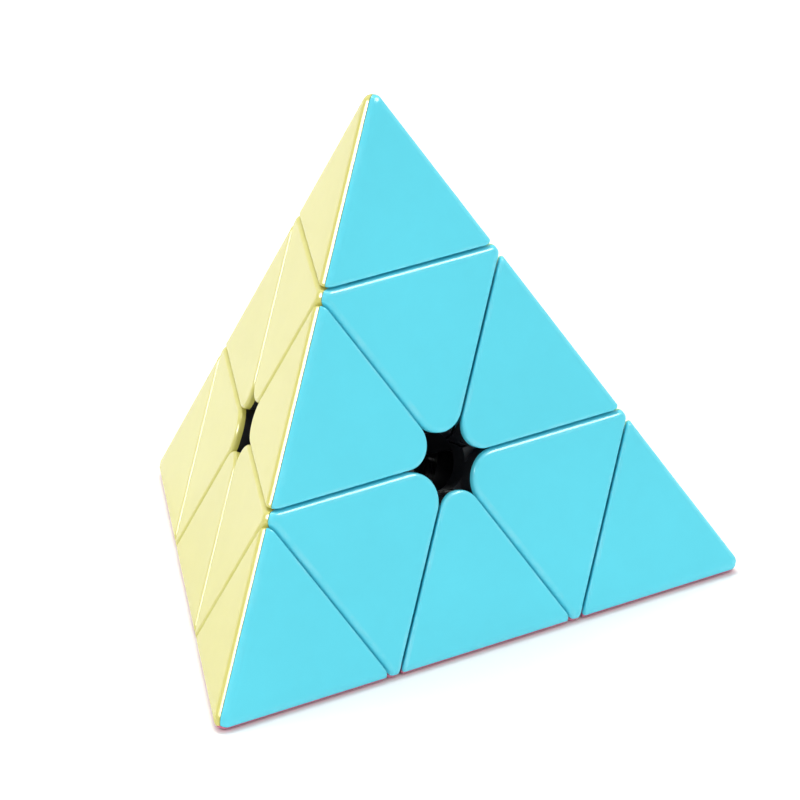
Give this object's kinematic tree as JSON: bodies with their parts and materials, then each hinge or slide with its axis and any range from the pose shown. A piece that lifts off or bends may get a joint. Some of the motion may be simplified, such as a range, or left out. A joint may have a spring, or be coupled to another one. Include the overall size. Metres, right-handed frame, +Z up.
{
  "type": "pyramid twisty puzzle",
  "caption": "Tetrahedral twisty puzzle with turning corner tips, turning layers, coloured clip-on caps over black bodies, and a sprung screw core.",
  "frame": {"origin": "centre of the core, where the four turning axes meet; it is also the centroid of the tetrahedron", "axes": "+Z up through the top corner, +X to the right along the blue face's bottom edge, blue face towards -Y; the puzzle rests on its pink face"},
  "size_m": [0.0968, 0.0838, 0.079],
  "materials": {
    "blue_plastic": "smooth satin-gloss moulded ABS, sky blue",
    "yellow_plastic": "smooth satin-gloss moulded ABS, pale yellow",
    "green_plastic": "smooth satin-gloss moulded ABS, mint green",
    "pink_plastic": "smooth satin-gloss moulded ABS, pink",
    "black_plastic": "glossy black moulded ABS",
    "core_plastic": "satin black nylon",
    "screw_steel": "zinc-plated",
    "spring_steel": "drawn spring wire",
    "washer_steel": "stamped and tumbled"
  },
  "bodies": {
    "core": {"core": "core_plastic", "screws": "screw_steel", "springs": "spring_steel", "washers": "washer_steel"},
    "axial_top": {"axial_top_body": "black_plastic", "axial_top_green_cap": "green_plastic", "axial_top_yellow_cap": "yellow_plastic", "axial_top_blue_cap": "blue_plastic"},
    "axial_left": {"axial_left_body": "black_plastic", "axial_left_pink_cap": "pink_plastic", "axial_left_yellow_cap": "yellow_plastic", "axial_left_blue_cap": "blue_plastic"},
    "axial_right": {"axial_right_body": "black_plastic", "axial_right_pink_cap": "pink_plastic", "axial_right_green_cap": "green_plastic", "axial_right_blue_cap": "blue_plastic"},
    "axial_back": {"axial_back_body": "black_plastic", "axial_back_pink_cap": "pink_plastic", "axial_back_green_cap": "green_plastic", "axial_back_yellow_cap": "yellow_plastic"},
    "tip_top": {"tip_top_core": "black_plastic", "tip_top_green_cap": "green_plastic", "tip_top_yellow_cap": "yellow_plastic", "tip_top_blue_cap": "blue_plastic"},
    "tip_left": {"tip_left_core": "black_plastic", "tip_left_pink_cap": "pink_plastic", "tip_left_yellow_cap": "yellow_plastic", "tip_left_blue_cap": "blue_plastic"},
    "tip_right": {"tip_right_core": "black_plastic", "tip_right_pink_cap": "pink_plastic", "tip_right_green_cap": "green_plastic", "tip_right_blue_cap": "blue_plastic"},
    "tip_back": {"tip_back_core": "black_plastic", "tip_back_pink_cap": "pink_plastic", "tip_back_green_cap": "green_plastic", "tip_back_yellow_cap": "yellow_plastic"},
    "edge_top_left": {"edge_top_left_body": "black_plastic", "edge_top_left_yellow_cap": "yellow_plastic", "edge_top_left_blue_cap": "blue_plastic"},
    "edge_top_right": {"edge_top_right_body": "black_plastic", "edge_top_right_green_cap": "green_plastic", "edge_top_right_blue_cap": "blue_plastic"},
    "edge_top_back": {"edge_top_back_body": "black_plastic", "edge_top_back_green_cap": "green_plastic", "edge_top_back_yellow_cap": "yellow_plastic"},
    "edge_left_right": {"edge_left_right_body": "black_plastic", "edge_left_right_pink_cap": "pink_plastic", "edge_left_right_blue_cap": "blue_plastic"},
    "edge_right_back": {"edge_right_back_body": "black_plastic", "edge_right_back_pink_cap": "pink_plastic", "edge_right_back_green_cap": "green_plastic"},
    "edge_back_left": {"edge_back_left_body": "black_plastic", "edge_back_left_pink_cap": "pink_plastic", "edge_back_left_yellow_cap": "yellow_plastic"}
  },
  "joints": [
    {"name": "layer_top_turn", "type": "hinge", "parent": "core", "child": "axial_top", "pos_m": [0, 0, 0], "axis": [0, 0, 1], "range_deg": [-240, 120]},
    {"name": "layer_left_turn", "type": "hinge", "parent": "core", "child": "axial_left", "pos_m": [0, 0, 0], "axis": [-0.8165, -0.4714, -0.3333], "range_deg": [-240, 120]},
    {"name": "layer_right_turn", "type": "hinge", "parent": "core", "child": "axial_right", "pos_m": [0, 0, 0], "axis": [0.8165, -0.4714, -0.3333], "range_deg": [-240, 120]},
    {"name": "layer_back_turn", "type": "hinge", "parent": "core", "child": "axial_back", "pos_m": [0, 0, 0], "axis": [0, 0.9428, -0.3333], "range_deg": [-240, 120]},
    {"name": "tip_top_turn", "type": "hinge", "parent": "axial_top", "child": "tip_top", "pos_m": [0, 0, 0], "axis": [0, 0, 1], "continuous": true},
    {"name": "tip_left_turn", "type": "hinge", "parent": "axial_left", "child": "tip_left", "pos_m": [0, 0, 0], "axis": [-0.8165, -0.4714, -0.3333], "continuous": true},
    {"name": "tip_right_turn", "type": "hinge", "parent": "axial_right", "child": "tip_right", "pos_m": [0, 0, 0], "axis": [0.8165, -0.4714, -0.3333], "continuous": true},
    {"name": "tip_back_turn", "type": "hinge", "parent": "axial_back", "child": "tip_back", "pos_m": [0, 0, 0], "axis": [0, 0.9428, -0.3333], "continuous": true},
    {"name": "edge_top_left_turn", "type": "hinge", "parent": "axial_top", "child": "edge_top_left", "pos_m": [0, 0, 0], "axis": [-0.8165, -0.4714, -0.3333], "range_deg": [-240, 120]},
    {"name": "edge_top_right_turn", "type": "hinge", "parent": "axial_top", "child": "edge_top_right", "pos_m": [0, 0, 0], "axis": [0.8165, -0.4714, -0.3333], "range_deg": [-240, 120]},
    {"name": "edge_top_back_turn", "type": "hinge", "parent": "axial_top", "child": "edge_top_back", "pos_m": [0, 0, 0], "axis": [0, 0.9428, -0.3333], "range_deg": [-240, 120]},
    {"name": "edge_left_right_turn", "type": "hinge", "parent": "axial_left", "child": "edge_left_right", "pos_m": [0, 0, 0], "axis": [0.8165, -0.4714, -0.3333], "range_deg": [-240, 120]},
    {"name": "edge_right_back_turn", "type": "hinge", "parent": "axial_right", "child": "edge_right_back", "pos_m": [0, 0, 0], "axis": [0, 0.9428, -0.3333], "range_deg": [-240, 120]},
    {"name": "edge_back_left_turn", "type": "hinge", "parent": "axial_back", "child": "edge_back_left", "pos_m": [0, 0, 0], "axis": [-0.8165, -0.4714, -0.3333], "range_deg": [-240, 120]}
  ],
  "couplings": [
    {"joint": "edge_top_left_turn", "follows": "layer_left_turn", "ratio": 1},
    {"joint": "edge_top_right_turn", "follows": "layer_right_turn", "ratio": 1},
    {"joint": "edge_top_back_turn", "follows": "layer_back_turn", "ratio": 1},
    {"joint": "edge_left_right_turn", "follows": "layer_right_turn", "ratio": 1},
    {"joint": "edge_right_back_turn", "follows": "layer_back_turn", "ratio": 1},
    {"joint": "edge_back_left_turn", "follows": "layer_left_turn", "ratio": 1}
  ]
}
